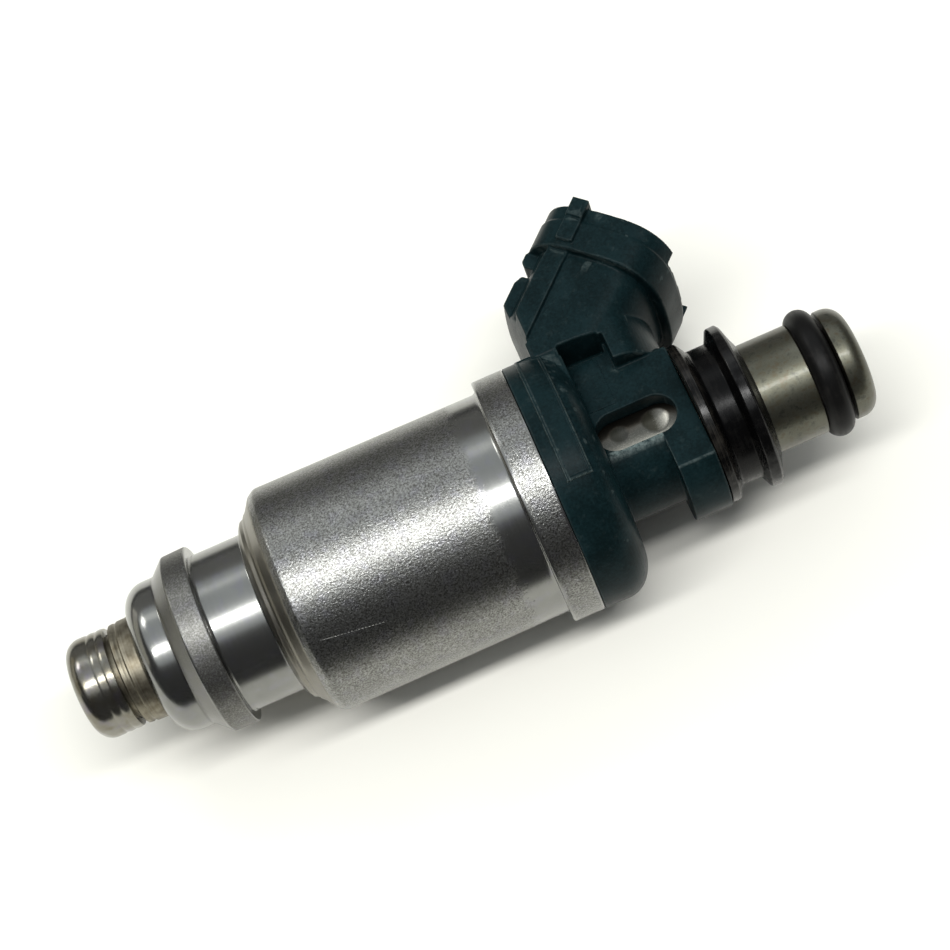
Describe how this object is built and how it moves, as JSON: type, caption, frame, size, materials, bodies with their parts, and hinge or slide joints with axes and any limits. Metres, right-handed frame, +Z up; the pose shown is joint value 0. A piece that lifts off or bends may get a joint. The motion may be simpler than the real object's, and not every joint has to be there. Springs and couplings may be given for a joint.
{
  "type": "fuel injector",
  "caption": "Top-feed solenoid fuel injector: stepped steel body, needle nozzle, sealed inlet tube and a slanted oval electrical connector.",
  "frame": {"origin": "centre of the nozzle tip's end face, on the injector's axis", "axes": "+X along the injector from the nozzle tip to the fuel inlet, +Y to the side that the connector leans to, +Z up, with the injector lying on its side"},
  "size_m": [0.0843, 0.0397, 0.026],
  "materials": {
    "blasted_steel": "fine shot-blasted",
    "bright_steel": "turned and polished",
    "tempered_steel": "heat-tinted",
    "dark_steel": "plain",
    "spring_steel": "drawn wire",
    "green_plastic": "moulded, satin",
    "black_rubber": "moulded",
    "pale_plastic": "moulded",
    "copper": "enamelled wire",
    "tape": "polyester tape",
    "tin": "tinned",
    "gauze": "woven"
  },
  "bodies": {
    "injector_body": {"nozzle_cap": "bright_steel", "spray_plate": "bright_steel", "nozzle_body": "tempered_steel", "nozzle_seal": "black_rubber", "stopper_spacer": "dark_steel", "spring_adjuster": "bright_steel", "return_spring": "spring_steel", "solenoid_housing": "blasted_steel", "coil_bobbin": "pale_plastic", "coil_winding": "copper", "coil_tape": "tape", "coil_seal_lower": "black_rubber", "coil_seal_upper": "black_rubber", "cover_plate": "dark_steel", "fuel_inlet_core": "bright_steel", "connector_housing": "green_plastic", "terminal_left": "tin", "terminal_right": "tin", "rail_grommet": "black_rubber", "rail_o_ring": "black_rubber", "inlet_filter_frame": "pale_plastic", "filter_screen": "gauze"},
    "needle_group": {"needle_valve": "bright_steel", "armature": "dark_steel"}
  },
  "joints": [
    {"name": "needle_lift", "type": "slide", "parent": "injector_body", "child": "needle_group", "axis": [1, 0, 0], "range_m": [0, 0.00015], "stiffness_N_per_m": 4000, "springref_m": -0.004, "deforming": ["return_spring"]}
  ]
}
